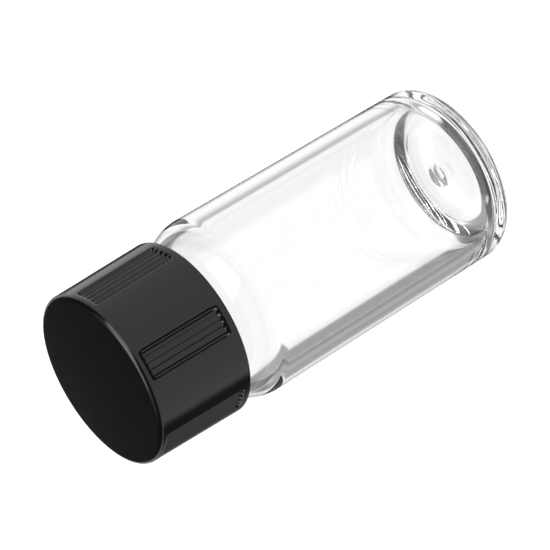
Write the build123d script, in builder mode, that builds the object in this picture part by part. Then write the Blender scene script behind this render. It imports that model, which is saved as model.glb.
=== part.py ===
from build123d import *
import os
from math import asin, atan, cos, degrees, radians, sin, tan

# A small glass sample vial with a black screw cap. The vial stands on its base ring at Z = 0, its axis is Z
# and its mouth looks up. All sizes are in millimetres.

# Glass vial
vial_height = 50.0          # base ring to sealing lip
barrel_diameter = 22.0
wall = 1.75
heel_radius = 1.65
base_push_up = 0.6          # height of the hollow under the base
base_ring_width = 2.25      # flat ring that the vial stands on
floor_middle = 2.05         # top of the domed floor inside
floor_trough = 1.0          # lowest height of the floor, near the wall
floor_corner_radius = 3.15  # from the wall down into the trough
floor_pit_depth = 0.45      # round pit in the middle of the floor
floor_pit_radius = 1.6
base_pit_depth = 0.3        # and the shallower one under it, in the base
base_pit_radius = 1.6
shoulder_slope = 45.0       # degrees above the horizontal
shoulder_radius = 5.5
neck_length = 10.2          # sealing lip down to where the shoulder slope meets the neck
neck_fillet = 1.0
throat_fillet = 1.5
mouth_diameter = 11.8
lip_outer_fillet = 0.55
lip_inner_fillet = 0.75

# Screw thread: a right-handed 18 mm finish with 8 threads to the inch
thread_pitch = 3.175
neck_diameter = 15.6        # root of the glass thread
thread_height = 1.05        # both ridges
flank_angle = 30.0          # degrees from the radial direction, both ridges
crest_clearance = 0.3       # radial, at both crests
flank_clearance = 0.12      # axial, on the flanks that pull the cap down
ridge_burial = 0.25         # how far a ridge reaches into the wall behind it
neck_thread_crest = 0.8
neck_thread_depth = 2.0     # sealing lip down to the middle of the ridge's upper end
neck_thread_rise = 3.44     # foot of the neck up to the middle of the ridge's lower end
neck_thread_angle = 20.0    # where the ridge starts, degrees round from +X
cap_thread_crest = 0.5
cap_thread_turns = 1.5
cap_thread_rise = 1.7       # skirt end up to the middle of the ridge's lower end

# Screw cap
cap_top_thickness = 1.05
cap_skirt_wall = 1.55       # at the skirt end, behind the thread
cap_taper = 0.28            # how much smaller the radius is at the top
cap_edge_fillet = 0.58
skirt_edge_fillet = 0.3
skirt_gap = 1.04            # skirt end above the shoulder, measured at the bore of the cap

# Grip panels: shallow windows round the skirt, each with upright grooves in its floor
panel_count = 6
panel_margin = 0.85         # above and below each window
panel_corner_radius = 0.7
panel_depth = 0.22
groove_count = 5
groove_pitch_angle = 4.35   # degrees round the skirt
groove_radius = 0.28
groove_end_margin = 0.25    # groove end to window edge

# Liner: a foamed disc with a thin film towards the glass
liner_backing_thickness = 0.85
liner_facing_thickness = 0.15
liner_side_clearance = 0.3

# Worked out: glass
barrel_radius = barrel_diameter / 2
bore_radius = barrel_radius - wall
neck_radius = neck_diameter / 2
mouth_radius = mouth_diameter / 2
lip_width = neck_radius - mouth_radius
slope = tan(radians(shoulder_slope))
half_turn = tan(radians(shoulder_slope / 2))
neck_foot = vial_height - neck_length
shoulder_corner = neck_foot - slope * (barrel_radius - neck_radius)
shoulder_run = (barrel_radius - neck_radius) / cos(radians(shoulder_slope))
inner_shoulder_corner = shoulder_corner - wall * half_turn
throat_foot = inner_shoulder_corner + slope * (bore_radius - mouth_radius)
ring_outer_radius = barrel_radius - heel_radius
ring_inner_radius = ring_outer_radius - base_ring_width

# The domed floor runs tangent into the arc of its corner
trough_radius = bore_radius - floor_corner_radius
corner_height = floor_trough + floor_corner_radius
corner_above_middle = corner_height - floor_middle
dome_radius = (trough_radius**2 + corner_above_middle**2 - floor_corner_radius**2) / (
    2 * (floor_corner_radius - corner_above_middle)
)
dome_angle = asin(trough_radius / (dome_radius + floor_corner_radius))
dome_edge = (dome_radius * sin(dome_angle), floor_middle - dome_radius * (1 - cos(dome_angle)))

# Each pit is cut by a ball. The surface that it is cut in is curved too, which changes the ball's radius.
hollow_radius = (ring_inner_radius**2 + base_push_up**2) / (2 * base_push_up)
floor_pit_ball = 1 / (2 * floor_pit_depth / floor_pit_radius**2 - 1 / dome_radius)
base_pit_ball = 1 / (2 * base_pit_depth / base_pit_radius**2 + 1 / hollow_radius)

# Fillets that share a straight between them are limited by its length
shoulder_round = min(shoulder_radius, 0.8 * shoulder_run / half_turn)
neck_round = min(neck_fillet, 0.18 * shoulder_run / half_turn)
lip_outer_round = min(lip_outer_fillet, 0.3 * lip_width)
lip_inner_round = min(lip_inner_fillet, 0.4 * lip_width)

# Worked out: cap and liner
liner_seat = vial_height + liner_facing_thickness + liner_backing_thickness
cap_top = liner_seat + cap_top_thickness
cap_bore_radius = neck_radius + thread_height + crest_clearance
skirt_end = neck_foot - slope * (cap_bore_radius - neck_radius) + skirt_gap
cap_height = cap_top - skirt_end
skirt_radius = cap_bore_radius + cap_skirt_wall
cap_top_radius = skirt_radius - cap_taper
liner_radius = cap_bore_radius - liner_side_clearance
panel_width = 2 * skirt_radius * sin(radians(groove_count * groove_pitch_angle / 2))
panel_height = cap_height - 2 * panel_margin
panel_middle = skirt_end + cap_height / 2
panel_floor_radius = (skirt_radius + cap_top_radius) / 2 - panel_depth
groove_length = panel_height - 2 * groove_end_margin

# Worked out: threads. The cap's ridge follows the glass ridge one flank below it, all the way round.
flank_spread = 2 * tan(radians(flank_angle))
neck_thread_root = neck_thread_crest + flank_spread * thread_height
cap_thread_root = cap_thread_crest + flank_spread * thread_height
neck_thread_foot = neck_foot + neck_thread_rise
neck_thread_turns = (vial_height - neck_thread_depth - neck_thread_foot) / thread_pitch
cap_thread_foot = skirt_end + cap_thread_rise
ridge_overlap = flank_spread * (thread_height + crest_clearance)
thread_drop = (neck_thread_root + cap_thread_root - ridge_overlap) / 2 + flank_clearance
cap_thread_climb = cap_thread_foot + thread_drop - neck_thread_foot
cap_thread_angle = neck_thread_angle + 360 * cap_thread_climb / thread_pitch


def ridge_outline(root_radius, crest_radius, root_width, crest_width, low=-1, high=1):
    """Outline of one ridge on the XZ plane. Its flanks run on into the wall that carries it."""
    direction = 1 if crest_radius > root_radius else -1
    buried_radius = root_radius - direction * ridge_burial
    buried_width = root_width + flank_spread * ridge_burial
    Polyline(
        (buried_radius, low * buried_width / 2),
        (crest_radius, low * crest_width / 2),
        (crest_radius, high * crest_width / 2),
        (buried_radius, high * buried_width / 2),
        close=True,
    )


def ridge_end(sizes, side):
    """Half-round end of a ridge, on the -Y side for side 1 and on the +Y side for side -1."""
    with BuildPart() as end:
        with BuildSketch(Plane.XZ):
            with BuildLine():
                ridge_outline(*sizes, low=0, high=side)
            make_face()
        revolve(axis=Axis.X, revolution_arc=180)
    return end.part


def thread_ridge(root_radius, crest_radius, root_width, crest_width, turns):
    """One helical ridge with rounded ends that starts on +X at Z = 0 and climbs anticlockwise."""
    sizes = (root_radius, crest_radius, root_width, crest_width)
    first_end = ridge_end(sizes, 1)
    last_end = ridge_end(sizes, -1)
    with BuildPart() as ridge:
        with BuildLine() as path:
            Helix(pitch=thread_pitch, height=turns * thread_pitch, radius=root_radius)
        with BuildSketch(Plane.XZ) as section:
            with BuildLine():
                ridge_outline(*sizes)
            make_face()
        sweep(section.sketch, path=path.line, is_frenet=True)
        add(first_end)
        with Locations(Location((0, 0, turns * thread_pitch), (0, 0, 360 * turns))):
            add(last_end)
    return ridge.part


def corner(section, radius, height):
    """The corner of a section on the XZ plane that lies nearest to a point."""
    return section.vertices().sort_by_distance((radius, height, 0))[0]


# ---------------------------------------------------------------- glass vial
glass_thread = thread_ridge(
    neck_radius,
    neck_radius + thread_height,
    neck_thread_root,
    neck_thread_crest,
    neck_thread_turns,
)

with BuildPart() as vial_body:
    with BuildSketch(Plane.XZ) as glass_section:
        with BuildLine():
            TangentArc((0, base_push_up), (ring_inner_radius, 0), tangent=(1, 0))
            Polyline(
                (ring_inner_radius, 0),
                (barrel_radius, 0),
                (barrel_radius, shoulder_corner),
                (neck_radius, neck_foot),
                (neck_radius, vial_height),
                (mouth_radius, vial_height),
                (mouth_radius, throat_foot),
                (bore_radius, inner_shoulder_corner),
                (bore_radius, corner_height),
            )
            CenterArc((trough_radius, corner_height), floor_corner_radius, 0, -90 - degrees(dome_angle))
            TangentArc((0, floor_middle), dome_edge, tangent=(1, 0))
            Line((0, floor_middle), (0, base_push_up))
        make_face()
        fillet(corner(glass_section, barrel_radius, 0), heel_radius)
        fillet(corner(glass_section, barrel_radius, shoulder_corner), shoulder_round)
        fillet(corner(glass_section, neck_radius, neck_foot), neck_round)
        fillet(corner(glass_section, neck_radius, vial_height), lip_outer_round)
        fillet(corner(glass_section, mouth_radius, vial_height), lip_inner_round)
        fillet(corner(glass_section, mouth_radius, throat_foot), throat_fillet)
        fillet(corner(glass_section, bore_radius, inner_shoulder_corner), shoulder_round - wall)
    revolve(axis=Axis.Z)
    with Locations((0, 0, floor_middle - floor_pit_depth + floor_pit_ball)):
        Sphere(floor_pit_ball, mode=Mode.SUBTRACT)
    with Locations((0, 0, base_push_up + base_pit_depth - base_pit_ball)):
        Sphere(base_pit_ball, mode=Mode.SUBTRACT)
    with Locations(Location((0, 0, neck_thread_foot), (0, 0, neck_thread_angle))):
        add(glass_thread)
vial_body.part.label = "vial_body"

# ---------------------------------------------------------------- screw cap
cap_thread = thread_ridge(
    cap_bore_radius,
    cap_bore_radius - thread_height,
    cap_thread_root,
    cap_thread_crest,
    cap_thread_turns,
)

with BuildPart() as groove:
    Cylinder(groove_radius, groove_length)

# One grip panel on the -Y side: the window between the skirt and a cone inside it, with its grooves
with BuildPart() as grip_panel:
    with BuildSketch(Plane.XZ) as panel_ring:
        with BuildLine():
            Polyline(
                (skirt_radius - panel_depth, skirt_end),
                (skirt_radius + 1, skirt_end),
                (cap_top_radius + 1, cap_top),
                (cap_top_radius - panel_depth, cap_top),
                close=True,
            )
        make_face()
    revolve(axis=Axis.Z)
    with BuildSketch(Plane.XZ) as window:
        with Locations((0, panel_middle)):
            RectangleRounded(panel_width, panel_height, panel_corner_radius)
    extrude(amount=2 * skirt_radius, mode=Mode.INTERSECT)
    for index in range(groove_count):
        angle = (index - (groove_count - 1) / 2) * groove_pitch_angle
        on_floor = Location((0, -panel_floor_radius, panel_middle))
        lean = Location((0, 0, 0), (-degrees(atan(cap_taper / cap_height)), 0, 0))
        with Locations(Location((0, 0, 0), (0, 0, angle)) * on_floor * lean):
            add(groove.part)

with BuildPart() as screw_cap:
    with BuildSketch(Plane.XZ) as cap_section:
        with BuildLine():
            Polyline(
                (0, cap_top),
                (cap_top_radius, cap_top),
                (skirt_radius, skirt_end),
                (cap_bore_radius, skirt_end),
                (cap_bore_radius, liner_seat),
                (0, liner_seat),
                close=True,
            )
        make_face()
        fillet(corner(cap_section, cap_top_radius, cap_top), cap_edge_fillet)
        fillet(corner(cap_section, skirt_radius, skirt_end), skirt_edge_fillet)
        fillet(corner(cap_section, cap_bore_radius, skirt_end), skirt_edge_fillet)
    revolve(axis=Axis.Z)
    with Locations(Location((0, 0, cap_thread_foot), (0, 0, cap_thread_angle))):
        add(cap_thread)
    with PolarLocations(0, panel_count):
        add(grip_panel.part, mode=Mode.SUBTRACT)
screw_cap.part.label = "screw_cap"

# ---------------------------------------------------------------- liner
with BuildPart() as liner_facing:
    with BuildSketch(Plane.XY.offset(vial_height)):
        Circle(liner_radius)
    extrude(amount=liner_facing_thickness)
liner_facing.part.label = "liner_facing"

with BuildPart() as liner_backing:
    with BuildSketch(Plane.XY.offset(vial_height + liner_facing_thickness)):
        Circle(liner_radius)
    extrude(amount=liner_backing_thickness)
liner_backing.part.label = "liner_backing"

# ---------------------------------------------------------------- files
os.makedirs("parts", exist_ok=True)
export_step(vial_body.part, "parts/vial_body.step")
export_step(screw_cap.part, "parts/screw_cap.step")
export_step(liner_facing.part, "parts/liner_facing.step")
export_step(liner_backing.part, "parts/liner_backing.step")
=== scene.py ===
# %% [markdown]
# A small glass sample vial with a black screw cap, 50 mm tall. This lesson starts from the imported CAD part,
# which stays as the fixed frame, and makes a finer vial, cap and liner around it: turned shapes for the
# glass and the cap, then glass, moulded plastic and foam materials, and last the studio and the camera.

# %% Open the frame
from math import asin, atan2, ceil, cos, degrees, hypot, pi, radians, sin, tan

import bmesh
import bpy
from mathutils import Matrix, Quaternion, Vector


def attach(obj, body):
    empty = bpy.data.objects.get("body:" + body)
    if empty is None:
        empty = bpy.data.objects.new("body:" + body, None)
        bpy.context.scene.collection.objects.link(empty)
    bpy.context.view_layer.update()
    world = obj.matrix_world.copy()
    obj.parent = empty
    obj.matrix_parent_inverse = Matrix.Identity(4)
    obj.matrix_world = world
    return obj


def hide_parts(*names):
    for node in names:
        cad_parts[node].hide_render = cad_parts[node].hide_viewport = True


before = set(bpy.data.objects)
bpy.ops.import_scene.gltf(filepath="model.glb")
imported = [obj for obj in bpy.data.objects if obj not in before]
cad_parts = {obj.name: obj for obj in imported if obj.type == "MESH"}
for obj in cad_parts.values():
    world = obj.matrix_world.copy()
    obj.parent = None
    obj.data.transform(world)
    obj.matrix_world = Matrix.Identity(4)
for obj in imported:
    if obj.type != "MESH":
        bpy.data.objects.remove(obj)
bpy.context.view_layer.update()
MM = 0.001

# %% [markdown]
# The sizes of the real thing, in millimetres. Both the glass and the cap are bodies of revolution, so radii
# and heights are nearly all there is to say.

# %% Sizes
BARREL, WALL, HEEL = 11.0, 1.75, 1.65
RING_INNER, PUSH_UP = 7.1, 0.6
FLOOR_MIDDLE, FLOOR_TROUGH, FLOOR_CORNER = 2.05, 1.0, 3.15
SHOULDER, SHOULDER_ROUND = 36.6, 5.5
NECK, NECK_FOOT, MOUTH, VIAL_TOP = 7.8, 39.8, 5.9, 50.0
RIDGE, PITCH, THREAD_FOOT, THREAD_START, THREAD_TURNS = 1.05, 3.175, 43.24, 20.0, 1.5
CAP_TOP, SKIRT_END, CAP_CEILING = 52.05, 39.49, 51.0
SKIRT, CAP_RIM, CAP_BORE = 10.7, 10.42, 9.15
NEAR, ON_WALL = 0.1, 0.01
bore = BARREL - WALL
print("bore of the glass", bore, "mm; wall", WALL, "mm")

# %% [markdown]
# A turned shape needs its half section only. It is drawn as a few corner points, and the bevel operator
# rounds each corner with a true arc: its offset is the distance from the corner to where the arc starts,
# which for an arc of radius r that turns through an angle is r * tan(angle / 2). Writing out points along
# arcs by hand would work too, but corners with a radius are how a drawing of the part says it, and they are
# easy to change.

# %% Half section from corners
def half_section(mesh, corners, arc_steps):
    """Draws corners of (radius, height, rounding) in mm as one line of edges in the XZ plane."""
    points = [mesh.verts.new((r * MM, 0, z * MM)) for r, z, rounding in corners]
    for one, other in zip(points, points[1:]):
        mesh.edges.new((one, other))
    places = [Vector((r, z)) for r, z, rounding in corners]
    for index, (r, z, rounding) in enumerate(corners):
        if rounding:
            before = (places[index] - places[index - 1]).normalized()
            after = (places[index + 1] - places[index]).normalized()
            reach = rounding * tan(before.angle(after) / 2)
            bmesh.ops.bevel(mesh, geom=[points[index]], offset=reach * MM, offset_type="OFFSET",
                            segments=arc_steps, profile=0.5, affect="VERTICES", material=-1)


# %% [markdown]
# Long stretches are cut into short ones where something will be pressed into the turned surface, such as a
# thread ridge. The spin operator then turns the section about Z. Its last step has to be merged with the
# first, and the points on the axis with each other, or the shape stays open there.

# %% Cut, turn, and finish a mesh
def cut_edges(mesh, inside, step):
    """Cuts each edge that lies inside a region of (radius, height) in mm into bits no longer than step mm."""
    for edge in list(mesh.edges):
        ends = [inside(point.co.x / MM, point.co.z / MM) for point in edge.verts]
        long = edge.calc_length() / MM
        if all(ends) and long > step:
            bmesh.ops.subdivide_edges(mesh, edges=[edge], cuts=ceil(long / step) - 1)


def turn(mesh, steps):
    """Spins the section once round Z into a closed surface whose faces point outwards."""
    bmesh.ops.spin(mesh, geom=mesh.verts[:] + mesh.edges[:], cent=(0, 0, 0), axis=(0, 0, 1),
                   angle=2 * pi, steps=steps, use_merge=True)
    bmesh.ops.remove_doubles(mesh, verts=mesh.verts, dist=1e-7)
    bmesh.ops.recalc_face_normals(mesh, faces=mesh.faces)


def piece(name, mesh, body, node):
    """Makes the mesh a named piece that rides on a body and stands for a CAD node."""
    data = bpy.data.meshes.new(name)
    mesh.to_mesh(data)
    mesh.free()
    data.shade_smooth()
    thing = bpy.data.objects.new(name, data)
    bpy.context.scene.collection.objects.link(thing)
    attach(thing, body)
    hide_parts(node)
    print(name, len(data.polygons), "faces")
    return thing


# %% [markdown]
# The glass is one closed skin: up the outside, over the lip, down the bore and across the floor, with a
# shallow hollow under the base so that it stands on a ring. Real vials are drawn from tube or pressed, and
# every corner is soft, because hot glass has no sharp ones. Light bends at both faces of the wall, so the
# bore has to be modelled: a solid rod of glass would look like a lens. The floor is domed, and it has a
# small pit in its middle, with a shallower one under it, a mark such as closing the base may leave.

# %% Glass half section
FLOOR_PIT, BASE_PIT, PIT_RADIUS, PIT_REGION = 0.45, 0.3, 1.6, 3
NECK_ROUND, LIP_OUTER, LIP_INNER, THROAT_ROUND = 1.0, 0.55, 0.75, 1.5
THREAD_CUT, PIT_CUT, BORE_CUT = 0.16, 0.15, 4
GLASS_ARC_STEPS = 18
SHORT_OF_NEXT = 0.98


def arc_corner(rise, reach):
    """Where the end tangents of a shallow arc meet, level at its middle, as (radius, rounding)."""
    radius = (reach * reach + rise * rise) / (2 * rise)
    along = radius * tan(asin(reach / radius) / 2)
    return along, SHORT_OF_NEXT * radius


glass = bmesh.new()
under, under_round = arc_corner(PUSH_UP, RING_INNER)
trough = bore - FLOOR_CORNER
above = FLOOR_TROUGH + FLOOR_CORNER - FLOOR_MIDDLE
dome = (trough ** 2 + above ** 2 - FLOOR_CORNER ** 2) / (2 * (FLOOR_CORNER - above))
lean = asin(trough / (dome + FLOOR_CORNER))
crown = dome * tan(lean / 2)
wall_foot = FLOOR_MIDDLE - (bore - crown) * tan(lean)
inner_shoulder = SHOULDER - WALL * tan(radians(45 / 2))
half_section(glass, [
    (0, PUSH_UP, 0), (under, PUSH_UP, under_round), (RING_INNER, 0, 0),
    (BARREL, 0, HEEL), (BARREL, SHOULDER, SHOULDER_ROUND), (NECK, NECK_FOOT, NECK_ROUND),
    (NECK, VIAL_TOP, LIP_OUTER), (MOUTH, VIAL_TOP, LIP_INNER),
    (MOUTH, inner_shoulder + bore - MOUTH, THROAT_ROUND),
    (bore, inner_shoulder, SHOULDER_ROUND - WALL), (bore, wall_foot, FLOOR_CORNER),
    (crown, FLOOR_MIDDLE, SHORT_OF_NEXT * dome), (0, FLOOR_MIDDLE, 0),
], GLASS_ARC_STEPS)
cut_edges(glass, lambda r, z: r > NECK - NEAR and z > NECK_FOOT, THREAD_CUT)
cut_edges(glass, lambda r, z: r < PIT_REGION and z < PIT_REGION, PIT_CUT)
cut_edges(glass, lambda r, z: r > bore - NEAR and z < SHOULDER, BORE_CUT)
print(len(glass.verts), "points in the glass section")

# %% [markdown]
# The neck has a right-handed thread of one and a half turns. It could be swept along a helix as a ridge of
# its own, but a ridge that overlaps the neck leaves faces inside the glass, and they would show. So the
# rows of the neck are pushed out instead, by how near each point is to the helix. The same rule makes the
# ridge inside the cap, pushed inwards.

# %% Turn the glass and raise its thread
GLASS_STEPS = 240
RIDGE_CREST, RIDGE_ROOT = 0.4, 1.006
LIP_ROOM = 0.6


def ridge_share(angle, height, foot, start, turns, crest, root):
    """How far up a ridge's side a point is, from 0 on the wall to 1 on the crest. The ends are rounded."""
    share = 0
    for lap in (-1, 0, 1, 2):
        run = (angle - start) / 360 + lap
        on_helix = min(max(run, 0), turns)
        past_end = abs(run - on_helix) * 2 * pi * NECK
        away = hypot(height - foot - on_helix * PITCH, past_end)
        share = max(share, min(1, (root - away) / (root - crest)))
    return min(share, share * share * (3 - 2 * share))


def push(point, outwards):
    """Moves a point away from the axis by outwards mm."""
    radius = hypot(point.co.x, point.co.y)
    grow = 1 + outwards * MM / radius
    point.co.x *= grow
    point.co.y *= grow


turn(glass, GLASS_STEPS)
for point in glass.verts:
    radius, height = hypot(point.co.x, point.co.y) / MM, point.co.z / MM
    if abs(radius - NECK) < ON_WALL and NECK_FOOT < height < VIAL_TOP - LIP_ROOM:
        angle = degrees(atan2(point.co.y, point.co.x)) % 360
        share = ridge_share(angle, height, THREAD_FOOT, THREAD_START, THREAD_TURNS, RIDGE_CREST, RIDGE_ROOT)
        push(point, RIDGE * share)
    if radius < PIT_RADIUS and height < PIT_REGION:
        deep = BASE_PIT if height < 1 else -FLOOR_PIT
        point.co.z += deep * (1 - (radius / PIT_RADIUS) ** 2) * MM
vial_glass = piece("vial_glass", glass, "vial", "vial_body")

# %% [markdown]
# The cap is pressed from a black plastic that sets hard and takes a gloss from the polished mould. Its
# skirt has six shallow windows for the fingers, each with five upright grooves. Cutting these with booleans
# would leave knife edges and long thin faces. The cap is turned with many steps instead, and the skirt is
# pressed in by a depth that depends on the place round the skirt and up it, so every edge gets the small
# soft lip of a moulding.

# %% Cap section
CAP_STEPS, CAP_ARC_STEPS = 720, 8
CAP_EDGE, SKIRT_EDGE, CEILING_ROUND = 0.58, 0.3, 0.2
SKIRT_CUT, CAP_THREAD_CUT = 0.22, 0.4
EDGE_ROOM = 0.05
cap = bmesh.new()
half_section(cap, [
    (0, CAP_TOP, 0), (CAP_RIM, CAP_TOP, CAP_EDGE), (SKIRT, SKIRT_END, SKIRT_EDGE),
    (CAP_BORE, SKIRT_END, SKIRT_EDGE), (CAP_BORE, CAP_CEILING, CEILING_ROUND), (0, CAP_CEILING, 0),
], CAP_ARC_STEPS)
cut_edges(cap, lambda r, z: r > CAP_RIM - EDGE_ROOM and z < CAP_TOP, SKIRT_CUT)
cut_edges(cap, lambda r, z: r < CAP_BORE + EDGE_ROOM and SKIRT_END < z < CAP_CEILING, CAP_THREAD_CUT)
print(len(cap.verts), "points in the cap section")

# %% [markdown]
# The depth of a window comes from the distance to a rounded rectangle, which is negative inside it.
# Blending the depth in over the first 0.4 mm makes the lip. The grooves are a wave across the window that
# fades out before its ends.

# %% Press the grip windows
WINDOWS, WINDOW_DEPTH, WINDOW_HALF, WINDOW_ROUND, LIP = 6, 0.22, 2.06, 0.7, 0.42
WINDOW_MARGIN = 0.85
GROOVES, GROOVE_STEP, GROOVE_DEPTH, GROOVE_END, GROOVE_FADE = 5, 4.35, 0.24, 0.25, 0.3
CAP_THREAD_FOOT, CAP_THREAD_START, CAP_THREAD_TURNS = 41.19, -76, 1.5
CAP_CREST, CAP_ROOT = 0.25, 0.856
window_step = 360 / WINDOWS
window_middle = (CAP_TOP + SKIRT_END) / 2
window_tall = (CAP_TOP - SKIRT_END) / 2 - WINDOW_MARGIN


def blend_in(value, start, end):
    """A soft step from 0 at start to 1 at end."""
    share = min(1, max(0, (value - start) / (end - start)))
    return share * share * (3 - 2 * share)


def window_depth(angle, height):
    """How deep the skirt is pressed in, in mm, at an angle from a window's middle and a height."""
    across, up = abs(radians(angle)) * SKIRT, abs(height - window_middle)
    corner_across, corner_up = across - WINDOW_HALF + WINDOW_ROUND, up - window_tall + WINDOW_ROUND
    outside = hypot(max(corner_across, 0), max(corner_up, 0)) + min(max(corner_across, corner_up), 0)
    inside = WINDOW_ROUND - outside
    wave = (1 + cos(radians(360 * angle / GROOVE_STEP))) / 2
    groove = wave * (abs(angle) < GROOVES * GROOVE_STEP / 2)
    ends = blend_in(window_tall - GROOVE_END - up, 0, GROOVE_FADE)
    return WINDOW_DEPTH * blend_in(inside, 0, LIP) + GROOVE_DEPTH * groove * ends


turn(cap, CAP_STEPS)
for point in cap.verts:
    radius, height = hypot(point.co.x, point.co.y) / MM, point.co.z / MM
    angle = degrees(atan2(point.co.y, point.co.x)) % 360
    if radius > CAP_RIM - 0.2 and SKIRT_END + 0.5 < height < CAP_TOP - 0.1:
        push(point, -window_depth(angle % window_step - window_step / 2, height))
    if abs(radius - CAP_BORE) < ON_WALL and SKIRT_END + 0.4 < height < CAP_CEILING - 0.3:
        share = ridge_share(angle, height, CAP_THREAD_FOOT, CAP_THREAD_START, CAP_THREAD_TURNS,
                            CAP_CREST, CAP_ROOT)
        push(point, -RIDGE * share)
screw_cap = piece("screw_cap_finish", cap, "cap", "screw_cap")

# %% [markdown]
# Inside the cap lies a sealing disc in two layers: a foamed backing that gives, and a thin smooth film that
# faces the glass. Both are stamped from sheet, so they are flat with a slightly broken edge.

# %% Liner discs
LINER, FILM_TOP = 8.85, 50.15
DISC_STEPS, DISC_ARC_STEPS = 144, 8


def disc(name, low, high, edge, node):
    """A stamped round disc between two heights in mm."""
    mesh = bmesh.new()
    half_section(mesh, [(0, high, 0), (LINER, high, edge), (LINER, low, edge), (0, low, 0)], DISC_ARC_STEPS)
    turn(mesh, DISC_STEPS)
    return piece(name, mesh, "liner", node)


liner_foam = disc("liner_foam_disc", FILM_TOP, CAP_CEILING, 0.12, "liner_backing")
liner_film = disc("liner_film_disc", VIAL_TOP, FILM_TOP, 0.04, "liner_facing")

# %% [markdown]
# Materials next. Shader nodes are wired by code that reads like sums: a Wire is one output of a node, and
# adding or multiplying Wires adds Math nodes. Every other node comes from Recipe.node, which takes the
# node's type, its settings, and what goes into its sockets. The other way is to drag wires in the shader
# editor, which is quicker to try and slower to repeat.

# %% Wires and recipes
class Wire:
    """One output of a node, for use in sums."""

    def __init__(self, recipe, node, output=0):
        self.recipe, self.node = recipe, node
        self.socket = node.outputs[output] if node.outputs else None

    def out(self, name):
        return Wire(self.recipe, self.node, name)

    def sum(self, operation, *values):
        return self.recipe.node("ShaderNodeMath", {"operation": operation}, dict(enumerate(values)))

    def __add__(self, other):
        return self.sum("ADD", self, other)

    def __sub__(self, other):
        return self.sum("SUBTRACT", self, other)

    def __rsub__(self, other):
        return self.sum("SUBTRACT", other, self)

    def __mul__(self, other):
        return self.sum("MULTIPLY", self, other)

    def __truediv__(self, other):
        return self.sum("DIVIDE", self, other)

    __radd__ = __add__
    __rmul__ = __mul__


class Recipe:
    """The node tree of a material or of the world."""

    def __init__(self, owner):
        owner.use_nodes = True
        self.tree = owner.node_tree
        self.tree.nodes.clear()

    def node(self, kind, settings={}, sockets={}, output=0):
        node = self.tree.nodes.new(kind)
        for name, value in settings.items():
            if name == "stops":
                ramp = node.color_ramp.elements
                while len(ramp) < len(value):
                    ramp.new(0.5)
                for stop, (place, shade) in zip(ramp, value):
                    stop.position, stop.color = place, (shade, shade, shade, 1)
            else:
                setattr(node, name, value)
        for name, value in sockets.items():
            if isinstance(value, Wire):
                self.tree.links.new(value.socket, node.inputs[name])
            else:
                node.inputs[name].default_value = value
        return Wire(self, node, output)

    def noise(self, place, scale, detail=3.0, rough=0.5):
        sockets = {"Vector": place, "Scale": scale, "Detail": detail, "Roughness": rough}
        return self.node("ShaderNodeTexNoise", {}, sockets)

    def stretched(self, scale):
        """Object coordinates in metres, stretched along the axes."""
        place = self.node("ShaderNodeTexCoord").out("Object")
        return self.node("ShaderNodeMapping", {}, {"Vector": place, "Scale": scale})

    def mix(self, share, one, other):
        return self.node("ShaderNodeMix", {"data_type": "RGBA"}, {0: share, 6: one, 7: other}, 2)

    def bump(self, height, size, under=None):
        sockets = {"Height": height, "Distance": size, "Strength": 1.0}
        if under:
            sockets["Normal"] = under
        return self.node("ShaderNodeBump", {}, sockets)


def finish_material(name, thing):
    """A new material on a piece, in place of the materials it had."""
    material = bpy.data.materials.new(name)
    thing.data.materials.clear()
    thing.data.materials.append(material)
    return Recipe(material)


# %% [markdown]
# Clear glass is nothing but a surface that bends and mirrors light, so what makes it look real is small:
# the faint green of iron in thick places, and the drawing streaks that run along the tube and make the
# lines in the wall waver. Lamps have to get through it, and Cycles would take bent paths to them, which are
# slow and noisy, so for shadow rays the glass is swapped for a Transparent shader.

# %% Glass
recipe = finish_material("clear_glass", vial_glass)
streaks = recipe.noise(recipe.stretched((1.0, 1.0, 0.06)), 900.0, 2.0)
waves = recipe.noise(recipe.stretched((1.0, 1.0, 0.5)), 160.0, 1.0)
tint = recipe.mix(waves, (0.985, 0.995, 0.99, 1), (1.0, 1.0, 1.0, 1))
surface = recipe.bump(waves * 1.5 + streaks, 0.0000022)
body = recipe.node("ShaderNodeBsdfPrincipled", {}, {
    "Base Color": tint, "Roughness": 0.0, "IOR": 1.5, "Transmission Weight": 1.0, "Normal": surface,
})
lamp_ray = recipe.node("ShaderNodeLightPath").out("Is Shadow Ray")
clear = recipe.node("ShaderNodeBsdfTransparent")
shader = recipe.node("ShaderNodeMixShader", {}, {0: lamp_ray, 1: body, 2: clear})
recipe.node("ShaderNodeOutputMaterial", {}, {"Surface": shader})
print("clear_glass", len(recipe.tree.nodes), "nodes")

# %% [markdown]
# The cap's black plastic mirrors its surroundings softly. A moulding is never quite flat: there are slow
# sinks a few millimetres across, a fine peel below them, and rubbed spots where the gloss has gone from
# handling.

# %% Cap plastic
recipe = finish_material("black_moulded_plastic", screw_cap)
place = recipe.stretched((1.0, 1.0, 1.0))
sinks = recipe.noise(place, 260.0, 2.0)
peel = recipe.noise(place, 2600.0, 3.0)
rubbed = recipe.noise(place, 420.0, 6.0, 0.65)
dust = recipe.noise(place, 5200.0, 1.0)
specks = recipe.node("ShaderNodeValToRGB", {"stops": [(0.0, 0.0), (0.74, 0.0), (0.8, 1.0)]}, {"Fac": dust})
colour = recipe.mix(specks * 0.12, (0.0022, 0.0022, 0.0024, 1), (0.02, 0.02, 0.02, 1))
surface = recipe.bump(peel, 0.0000012, recipe.bump(sinks, 0.000012))
body = recipe.node("ShaderNodeBsdfPrincipled", {}, {
    "Base Color": colour, "Roughness": rubbed * 0.12 + 0.1, "IOR": 1.46, "Normal": surface,
})
recipe.node("ShaderNodeOutputMaterial", {}, {"Surface": body})
print("black_moulded_plastic", len(recipe.tree.nodes), "nodes")
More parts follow.
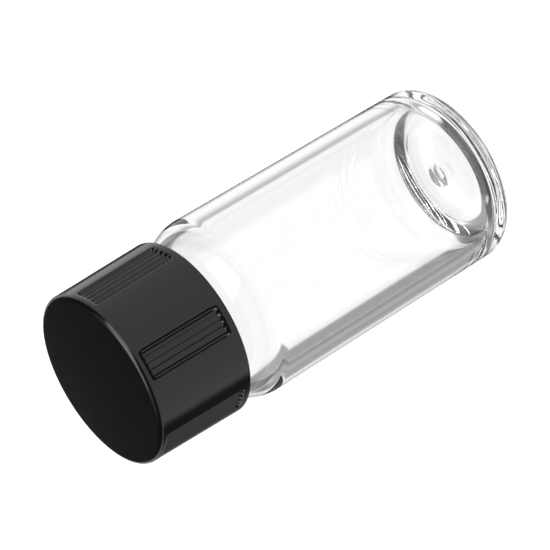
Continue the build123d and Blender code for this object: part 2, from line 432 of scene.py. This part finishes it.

# %% [markdown]
# Foam shows its cut cells as tiny round pits. A Voronoi pattern gives pits with a few sizes, and the same
# pattern paints the foam's colour darker towards the floor of each pit, which is painted shade. The film is a
# smooth white plastic with the faint lines of the roll that it came off.

# %% Liner materials
recipe = finish_material("white_foam", liner_foam)
place = recipe.stretched((1.0, 1.0, 1.0))
cells = recipe.node("ShaderNodeTexVoronoi", {"feature": "SMOOTH_F1"}, {"Vector": place, "Scale": 4200.0})
# Painted shade: the colour is darker where the bump puts the floor of each pit and lighter on the cell walls.
shade = recipe.mix(cells * 0.8, (0.72, 0.71, 0.68, 1), (0.87, 0.87, 0.84, 1))
body = recipe.node("ShaderNodeBsdfPrincipled", {}, {
    "Base Color": shade, "Roughness": 0.75, "Normal": recipe.bump(cells, 0.00004),
})
recipe.node("ShaderNodeOutputMaterial", {}, {"Surface": body})

recipe = finish_material("white_film", liner_film)
lines = recipe.noise(recipe.stretched((1.0, 0.04, 1.0)), 2400.0, 2.0)
shade = recipe.mix(lines, (0.86, 0.86, 0.85, 1), (0.92, 0.92, 0.92, 1))
body = recipe.node("ShaderNodeBsdfPrincipled", {}, {
    "Base Color": shade, "Roughness": lines * 0.1 + 0.28, "Normal": recipe.bump(lines, 0.000001),
})
recipe.node("ShaderNodeOutputMaterial", {}, {"Surface": body})
print("liner materials done")

# %% [markdown]
# The studio. Glass has no colour of its own, so it shows whatever its faces send the eye to. A photographer
# gives it grey edges with cards beside a white table: rays through the middle of the barrel reach the
# white, and rays through its edges are bent aside to a card. Modelled cards would be truer to a real room,
# but they are harder to tune, because bent rays and mirrored rays share them. Here the world shader is the
# room, and it shows one set of cards to bent rays and another to mirrored rays. The camera itself sees the
# table, a self-lit white sheet that is hidden from bent and mirrored rays.

# %% White table
def shown_only_as_background(thing):
    """Hides a thing from bent and mirrored rays, which see the world instead."""
    thing.visible_transmission = thing.visible_glossy = False


TABLE, TABLE_LIGHT = 3.0, 0.93
sheet = bmesh.new()
bmesh.ops.create_grid(sheet, x_segments=1, y_segments=1, size=TABLE)
data = bpy.data.meshes.new("table")
sheet.to_mesh(data)
sheet.free()
table = bpy.data.objects.new("table", data)
bpy.context.scene.collection.objects.link(table)
shown_only_as_background(table)
material = bpy.data.materials.new("table_sheet")
data.materials.append(material)
recipe = Recipe(material)
fibres = recipe.noise(recipe.stretched((1.0, 1.0, 1.0)), 40.0)
shade = recipe.mix(fibres, (0.34, 0.34, 0.34, 1), (0.36, 0.36, 0.36, 1))
body = recipe.node("ShaderNodeBsdfPrincipled", {}, {
    "Base Color": shade, "Roughness": 1.0, "Specular IOR Level": 0.0,
    "Emission Color": (1, 1, 1, 1), "Emission Strength": TABLE_LIGHT,
})
recipe.node("ShaderNodeOutputMaterial", {}, {"Surface": body})
print("table", 2 * TABLE, "m wide")

# %% [markdown]
# The room is a ramp over how high a ray points, times a ramp over the way it points round the vial. The
# first number of each stop is an angle in degrees, and round the vial it is counted from the way the camera
# looks. No real room shows two sets of cards: this is a lighting trick, and it is tuned to the camera's own
# view. It doesn't hold from elsewhere. From behind, the edges of the glass nearly vanish against the white.
# From the sides and from low down the clear, empty barrel looks filled with grey, because bent rays find
# the room dark at the horizon, and from straight above it looks dark, because they find it dark straight
# below. For other views the heights need new stops.

# %% Room with grey cards
VIEW_TURN, VIEW_RISE = 6.5, 28.0
CARDS = [(-180, 1), (-92, 1), (-85, 0.08), (-64, 0.08), (-55, 0.3), (-8, 0.25), (-5, 1), (5, 1),
         (8, 0.05), (26, 0.05), (32, 1), (180, 1)]
CARDS_THROUGH_GLASS = [(-180, 1), (-92, 1), (-85, 0.08), (-64, 0.08), (-52, 0.3), (-46, 0.44), (-38, 0.42),
                       (-33, 0.25), (-25, 0.22), (-20, 0.28), (-17.6, 0.36), (-15.6, 0.96), (31, 0.93),
                       (37, 0.8), (42, 0.62), (46, 0.42), (52, 0.4), (57, 1), (180, 1)]
HEIGHTS = [(-90, 0.1), (-53, 0.1), (-50, 1), (8, 1), (12, 0.06), (50, 0.06), (54, 0.5), (90, 0.5)]
HEIGHTS_THROUGH_GLASS = [(-90, 0.1), (-57, 0.1), (-54, 1), (-14, 1), (-11.5, 0.22),
                         (14, 0.22), (18, 1), (42, 1), (45, 0.1), (90, 0.1)]
CARD_REACH = [(0.0, 1), (0.4, 1), (0.52, 0), (1.0, 0)]
ROOM_LIGHT, BACKDROP_LIGHT = 1.05, 0.95
world = bpy.data.worlds.new("room")
bpy.context.scene.world = world
recipe = Recipe(world)
direction = recipe.node("ShaderNodeTexCoord").out("Generated")
toward = recipe.node("ShaderNodeSeparateXYZ", {}, {"Vector": direction})
x, y, z = toward, toward.out(1), toward.out(2)
turn_sin, turn_cos = sin(radians(VIEW_TURN)), cos(radians(VIEW_TURN))
ahead = y * turn_cos - x * turn_sin
aside = x * turn_cos + y * turn_sin
round_vial = aside.sum("ARCTAN2", aside, ahead) / (2 * pi) + 0.5
height = z * 0.5 + 0.5


def ramp(stops, factor):
    """Grey levels over a factor. The first number of each stop is in the factor's own units, 0 to 1."""
    return recipe.node("ShaderNodeValToRGB", {"stops": stops}, {"Fac": factor})


def over_height(levels):
    return ramp([((sin(radians(angle)) + 1) / 2, level) for angle, level in levels], height)


def over_turn(levels):
    return ramp([((angle + 180) / 360, level) for angle, level in levels], round_vial)


path = recipe.node("ShaderNodeLightPath")
seen, bent = path.out("Is Camera Ray"), path.out("Is Transmission Ray")
heights = over_height(HEIGHTS) * (1 - bent) + over_height(HEIGHTS_THROUGH_GLASS) * bent
low = ramp(CARD_REACH, height)
cards = over_turn(CARDS) * (1 - bent) + over_turn(CARDS_THROUGH_GLASS) * bent
light = heights * (1 - low * (1 - cards)) * ROOM_LIGHT
strength = light * (1 - seen) + seen * BACKDROP_LIGHT
backdrop = recipe.node("ShaderNodeBackground", {}, {"Color": (1, 1, 1, 1), "Strength": strength})
recipe.node("ShaderNodeOutputWorld", {}, {"Surface": backdrop})
print("room", len(recipe.tree.nodes), "nodes")

# %% [markdown]
# One large soft lamp stands beside the camera and above it, and puts a soft light on the cap's edges and on
# the lips of the grip windows. A weaker one overhead fills in from above.

# %% Lamps
VIAL_MIDDLE = 25


def soft_lamp(name, turn_from_view, rise, distance, size, power):
    """A rectangular lamp that faces the vial's middle, placed by angles in degrees from the view's own turn."""
    spin, lift = radians(VIEW_TURN + turn_from_view), radians(rise)
    data = bpy.data.lights.new(name, "AREA")
    data.shape, data.size, data.size_y, data.energy = "RECTANGLE", size[0] * MM, size[1] * MM, power
    lamp = bpy.data.objects.new(name, data)
    bpy.context.scene.collection.objects.link(lamp)
    away = Vector((sin(spin) * cos(lift), -cos(spin) * cos(lift), sin(lift)))
    lamp.location = away * distance * MM + Vector((0, 0, VIAL_MIDDLE * MM))
    lamp.rotation_mode = "QUATERNION"
    lamp.rotation_quaternion = away.to_track_quat("Z", "Y")
    print(name, power, "W")


soft_lamp("key_lamp", 36, 48, 700, (560, 900), 5.0)
soft_lamp("top_lamp", 0, 90, 800, (500, 500), 2.0)

# %% [markdown]
# The camera looks down on the vial with a long lens, which keeps its sides nearly parallel, and it is
# rolled so that the vial lies across the picture with its cap low and to the left.

# %% Camera
ROLL, DISTANCE, AIM, LENS = -121.36, 299.74, 26.83, 173.8
MOST_BOUNCES = 28
turned, risen = radians(VIEW_TURN), radians(VIEW_RISE)
back = Vector((sin(turned) * cos(risen), -cos(turned) * cos(risen), sin(risen)))
data = bpy.data.cameras.new("camera")
data.lens, data.sensor_width, data.clip_start, data.clip_end = LENS, 36, 0.01, 100
camera = bpy.data.objects.new("camera", data)
bpy.context.scene.collection.objects.link(camera)
camera.location = (Vector((0, 0, AIM)) + back * DISTANCE) * MM
camera.rotation_mode = "QUATERNION"
camera.rotation_quaternion = (-back).to_track_quat("-Z", "Y") @ Quaternion((0, 0, 1), radians(ROLL))
bpy.context.scene.camera = camera
bpy.context.scene.view_settings.view_transform = "Standard"
bounces = bpy.context.scene.cycles
bounces.max_bounces = bounces.transmission_bounces = bounces.glossy_bounces = MOST_BOUNCES
print("camera at", [round(v, 4) for v in camera.location])
